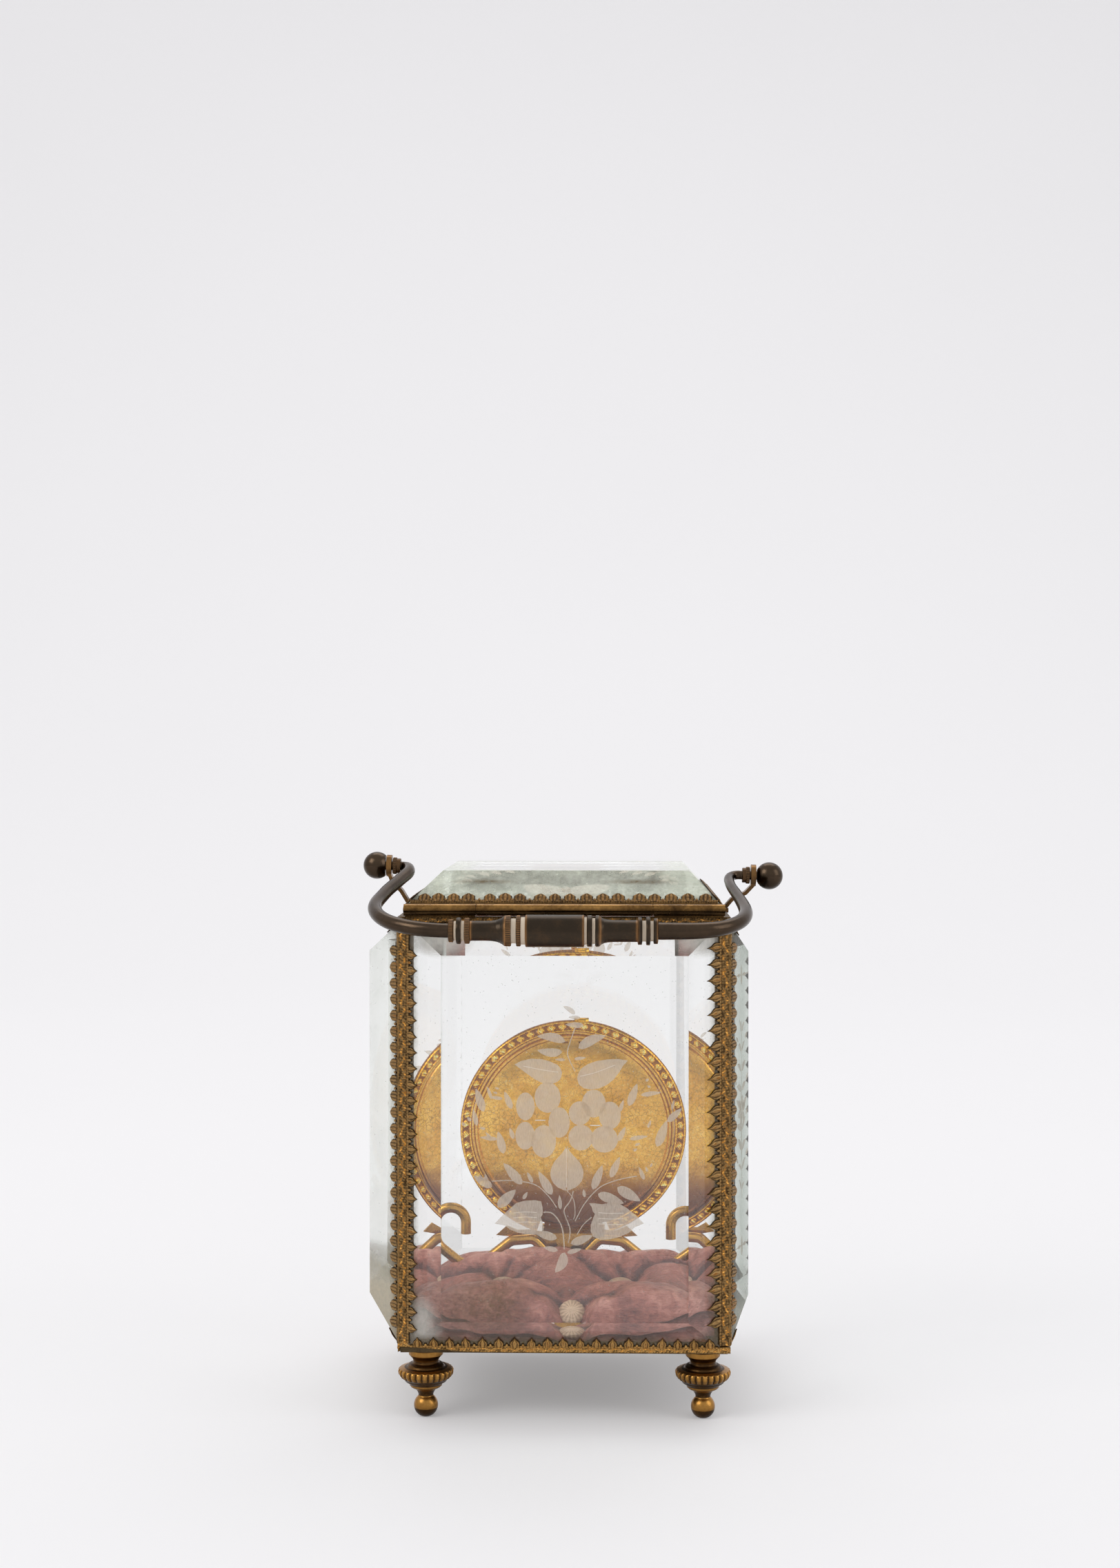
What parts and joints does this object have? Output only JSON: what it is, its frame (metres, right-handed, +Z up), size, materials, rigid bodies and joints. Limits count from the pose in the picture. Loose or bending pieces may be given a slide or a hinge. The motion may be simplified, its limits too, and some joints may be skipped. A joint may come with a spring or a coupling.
{
  "type": "watch display case",
  "caption": "Four-footed gilt casket of bevelled glass with hinged lid, bail handle, buttoned cushion and a leaning round stand that displays a pocket watch.",
  "frame": {"origin": "middle of the whole object's footprint (handle pivots and bail included), on the surface the feet stand on", "axes": "+Z up; +X to the right when looking at the hinge side; +Y from the hinge side to the side the watch faces"},
  "size_m": [0.1102, 0.0964, 0.1394],
  "materials": {
    "gilt": "aged gilding with brown tarnish in the hollows",
    "stand_gilt": "bright old gilding, worn",
    "plate_gilt": "brushed gilt sheet",
    "base_brass": "dark tarnished brass",
    "plain_brass": "dull brass",
    "dark_bronze": "bronzed brass, rubbed at the edges",
    "glass": "clear bevelled glass",
    "satin": "faded mauve satin",
    "button_cloth": "faded satin",
    "board": "covered board"
  },
  "bodies": {
    "case": {"base_plate": "base_brass", "bottom_rail_back": "gilt", "bottom_rail_front": "gilt", "bottom_rail_left": "gilt", "bottom_rail_right": "gilt", "bracket_rivets": "dark_bronze", "corner_post_back_left": "gilt", "corner_post_back_right": "gilt", "corner_post_front_left": "gilt", "corner_post_front_right": "gilt", "cushion": "satin", "cushion_board": "board", "cushion_buttons": "button_cloth", "foot_back_left": "gilt", "foot_back_right": "gilt", "foot_front_left": "gilt", "foot_front_right": "gilt", "foot_nuts": "plain_brass", "glass_back": "glass", "glass_front": "glass", "glass_left": "glass", "glass_right": "glass", "handle_bracket_left": "dark_bronze", "handle_bracket_right": "dark_bronze", "hinge_knuckle_left": "gilt", "hinge_knuckle_right": "gilt", "hinge_pin": "plain_brass", "plate_clip": "stand_gilt", "plate_rim": "stand_gilt", "stand_leaf": "stand_gilt", "stand_nut": "plain_brass", "stand_scroll_left": "stand_gilt", "stand_scroll_right": "stand_gilt", "stand_stem": "stand_gilt", "top_rail_back": "gilt", "top_rail_front": "gilt", "top_rail_left": "gilt", "top_rail_right": "gilt", "watch_hook": "stand_gilt", "watch_plate": "plate_gilt"},
    "lid": {"lid_glass": "glass", "lid_knuckle": "gilt", "lid_rail_back": "gilt", "lid_rail_front": "gilt", "lid_rail_left": "gilt", "lid_rail_right": "gilt", "lid_tab": "gilt", "lid_tab_rivets": "plain_brass"},
    "handle": {"handle_grip": "dark_bronze", "handle_rod_left": "dark_bronze", "handle_rod_right": "dark_bronze", "handle_ball_left": "dark_bronze", "handle_ball_right": "dark_bronze", "handle_collar_left": "dark_bronze", "handle_collar_right": "dark_bronze"}
  },
  "joints": [
    {"name": "lid_hinge", "type": "hinge", "parent": "case", "child": "lid", "pos_m": [-0.0016, -0.03445, 0.12665], "axis": [1, 0, 0], "range_deg": [0, 105]},
    {"name": "handle_swing", "type": "hinge", "parent": "case", "child": "handle", "pos_m": [-0.05149, 0.004, 0.13581], "axis": [-0.9997, 0, 0.026], "range_deg": [0, 205]}
  ]
}
